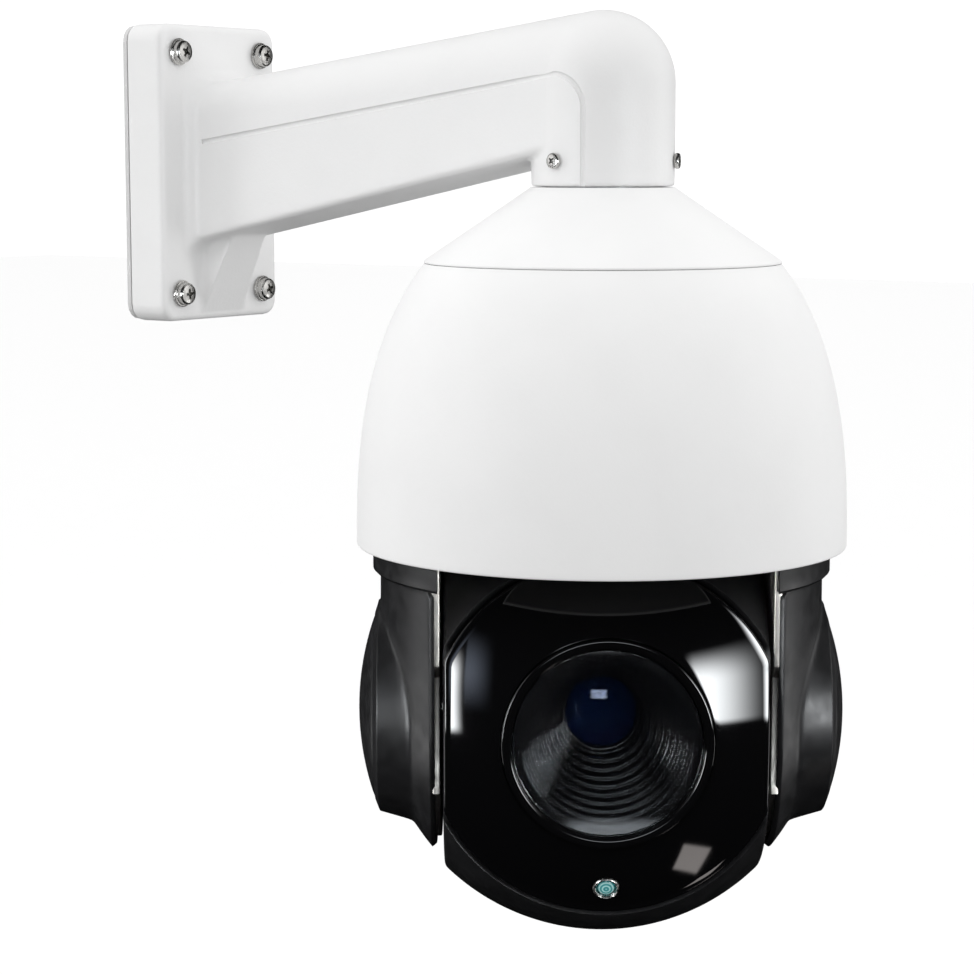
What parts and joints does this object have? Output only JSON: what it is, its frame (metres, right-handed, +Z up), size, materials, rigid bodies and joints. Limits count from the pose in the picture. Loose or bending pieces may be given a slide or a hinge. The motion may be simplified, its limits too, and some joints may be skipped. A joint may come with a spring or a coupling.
{
  "type": "ptz camera",
  "caption": "Pan-tilt-zoom dome security camera on a cast wall-bracket arm: bell housing, rotating yoke and flat-sided tilting head with a round lens window.",
  "frame": {"origin": "centre of the rear face of the wall gasket, the face that lies on the wall", "axes": "+X points out of the wall along the bracket arm, +Z is up, Y is across the wall"},
  "size_m": [0.3216, 0.197, 0.3694],
  "materials": {
    "cast_paint": "fine-textured white powder coat on cast aluminium",
    "housing_paint": "smooth satin white coat on a drawn aluminium shell",
    "black_cover": "fine satin black moulded plastic",
    "black_gloss": "piano-black infrared-pass acrylic",
    "clear_glass": "coated flat window glass",
    "lens_glass": "dark coated optical glass",
    "sensor_lens": "teal optical filter",
    "steel": "zinc-plated or stainless steel",
    "aluminium": "machined aluminium",
    "brass": "hobbed brass",
    "rubber": "black EPDM rubber",
    "nylon": "natural engineering plastic",
    "circuit_board": "green solder mask with parts"
  },
  "bodies": {
    "base": {"wall_gasket": "rubber", "wall_bracket": "cast_paint", "wall_screw_1": "steel", "wall_screw_2": "steel", "wall_screw_3": "steel", "wall_screw_4": "steel", "neck_screw_1": "steel", "neck_screw_2": "steel", "neck_screw_3": "steel", "dome_adaptor": "aluminium", "cable_gland": "rubber", "top_cap": "housing_paint", "cap_gasket": "rubber", "housing": "housing_paint", "chassis_plate": "aluminium", "pan_motor": "steel", "pan_bearing_outer": "steel", "slip_ring_bracket": "steel", "slip_ring_stator": "nylon", "power_board": "circuit_board"},
    "pan_pinion_body": {"pan_pinion": "brass"},
    "yoke": {"turntable": "aluminium", "pan_hub": "aluminium", "pan_gear": "nylon", "pan_bearing_inner": "steel", "slip_ring_rotor": "nylon", "yoke_plate_left": "steel", "yoke_plate_right": "steel", "yoke_collar": "black_cover", "yoke_cover_left": "black_cover", "yoke_cover_right": "black_cover", "ear_cap_left": "black_cover", "ear_cap_right": "black_cover", "tilt_bearing_left": "steel", "tilt_bearing_right": "steel", "tilt_motor": "steel"},
    "tilt_pinion_body": {"tilt_pinion": "brass"},
    "head": {"head_front_shell": "black_cover", "head_rear_shell": "black_cover", "head_screw_1": "steel", "head_screw_2": "steel", "head_screw_3": "steel", "head_seal": "rubber", "front_panel": "black_gloss", "window_ring": "black_gloss", "window_glass": "clear_glass", "lens_hood": "black_cover", "light_sensor_bezel": "steel", "light_sensor_lens": "sensor_lens", "ir_led_board": "circuit_board", "lens_barrel": "black_cover", "front_lens": "lens_glass", "camera_block": "aluminium", "module_bracket": "steel", "tilt_axle_left": "steel", "tilt_axle_right": "steel", "tilt_gear": "brass"},
    "zoom_group": {"zoom_lens_group": "lens_glass"},
    "focus_group": {"focus_lens_group": "lens_glass"},
    "filter_slide": {"ir_cut_filter": "lens_glass"}
  },
  "joints": [
    {"name": "pan", "type": "hinge", "parent": "base", "child": "yoke", "pos_m": [0.222, 0, -0.2145], "axis": [0, 0, 1], "continuous": true},
    {"name": "pan_pinion_spin", "type": "hinge", "parent": "base", "child": "pan_pinion_body", "pos_m": [0.27915, 0, -0.11], "axis": [0, 0, 1], "continuous": true},
    {"name": "tilt", "type": "hinge", "parent": "yoke", "child": "head", "pos_m": [0.222, 0, -0.2145], "axis": [0.8192, 0.5736, 0], "range_deg": [-5, 90]},
    {"name": "tilt_pinion_spin", "type": "hinge", "parent": "yoke", "child": "tilt_pinion_body", "pos_m": [0.28139, 0.04158, -0.19435], "axis": [0.8192, 0.5736, 0], "range_deg": [-212, 13]},
    {"name": "zoom", "type": "slide", "parent": "head", "child": "zoom_group", "axis": [0.5736, -0.8192, 0], "range_m": [-0.006, 0.008]},
    {"name": "focus", "type": "slide", "parent": "head", "child": "focus_group", "axis": [0.5736, -0.8192, 0], "range_m": [-0.003, 0.005]},
    {"name": "filter_switch", "type": "slide", "parent": "head", "child": "filter_slide", "axis": [0.8192, 0.5736, 0], "range_m": [0, 0.004]}
  ],
  "couplings": [
    {"joint": "pan_pinion_spin", "follows": "pan", "ratio": -3.75},
    {"joint": "tilt_pinion_spin", "follows": "tilt", "ratio": -2.3333}
  ]
}
